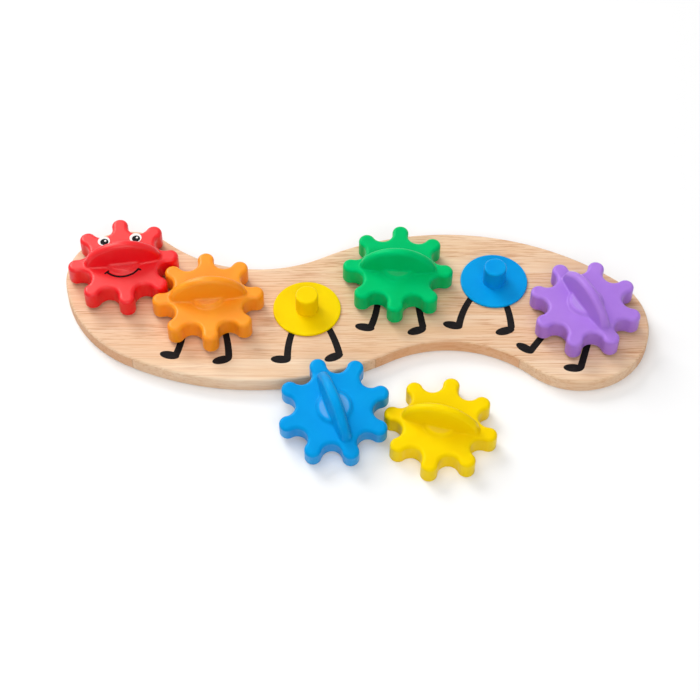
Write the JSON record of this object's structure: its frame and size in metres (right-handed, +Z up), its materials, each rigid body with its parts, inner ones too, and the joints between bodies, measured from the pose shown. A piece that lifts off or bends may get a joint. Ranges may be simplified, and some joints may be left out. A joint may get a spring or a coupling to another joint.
{
  "type": "wooden gear toy",
  "caption": "Wavy wooden board with a row of round plastic pegs and lift-off toothed gears that turn by a moulded grip ridge.",
  "frame": {"origin": "on the board's underside, at the middle of the row of six pegs", "axes": "+X along the board towards the purple end, +Y across it away from the loose gears, +Z up along the pegs"},
  "size_m": [0.4125, 0.2085, 0.0475],
  "materials": {
    "wood": "clear matt lacquer on pale rubberwood",
    "fastener_steel": "zinc plated",
    "red_plastic": "satin moulded plastic",
    "orange_plastic": "satin moulded plastic",
    "yellow_plastic": "satin moulded plastic",
    "green_plastic": "satin moulded plastic",
    "blue_plastic": "satin moulded plastic",
    "purple_plastic": "satin moulded plastic"
  },
  "bodies": {
    "board_and_pegs": {"board": "wood", "red_peg": "red_plastic", "orange_peg": "orange_plastic", "yellow_peg": "yellow_plastic", "green_peg": "green_plastic", "blue_peg": "blue_plastic", "purple_peg": "purple_plastic", "red_screw": "fastener_steel", "orange_screw": "fastener_steel", "yellow_screw": "fastener_steel", "green_screw": "fastener_steel", "blue_screw": "fastener_steel", "purple_screw": "fastener_steel", "red_washer": "fastener_steel", "orange_washer": "fastener_steel", "yellow_washer": "fastener_steel", "green_washer": "fastener_steel", "blue_washer": "fastener_steel", "purple_washer": "fastener_steel"},
    "red_gear_body": {"red_gear": "red_plastic"},
    "orange_gear_body": {"orange_gear": "orange_plastic"},
    "yellow_gear_body": {"yellow_gear": "yellow_plastic"},
    "green_gear_body": {"green_gear": "green_plastic"},
    "blue_gear_body": {"blue_gear": "blue_plastic"},
    "purple_gear_body": {"purple_gear": "purple_plastic"}
  },
  "joints": [
    {"name": "red_spin", "type": "hinge", "parent": "board_and_pegs", "child": "red_gear_body", "pos_m": [-0.16249, 0.01895, 0.0144], "axis": [0, 0, 1], "continuous": true},
    {"name": "orange_spin", "type": "hinge", "parent": "board_and_pegs", "child": "orange_gear_body", "pos_m": [-0.10112, -0.01259, 0.0144], "axis": [0, 0, 1], "continuous": true},
    {"name": "green_spin", "type": "hinge", "parent": "board_and_pegs", "child": "green_gear_body", "pos_m": [0.03212, 0.01259, 0.0144], "axis": [0, 0, 1], "continuous": true},
    {"name": "purple_spin", "type": "hinge", "parent": "board_and_pegs", "child": "purple_gear_body", "pos_m": [0.16249, -0.01895, 0.0144], "axis": [0, 0, 1], "continuous": true},
    {"name": "blue_lift", "type": "slide", "parent": "board_and_pegs", "child": "blue_gear_body", "axis": [0, 0, 1], "range_m": [0, 0.1]},
    {"name": "yellow_lift", "type": "slide", "parent": "board_and_pegs", "child": "yellow_gear_body", "axis": [0, 0, 1], "range_m": [0, 0.1]}
  ],
  "couplings": [
    {"joint": "orange_spin", "follows": "red_spin", "ratio": -1}
  ]
}
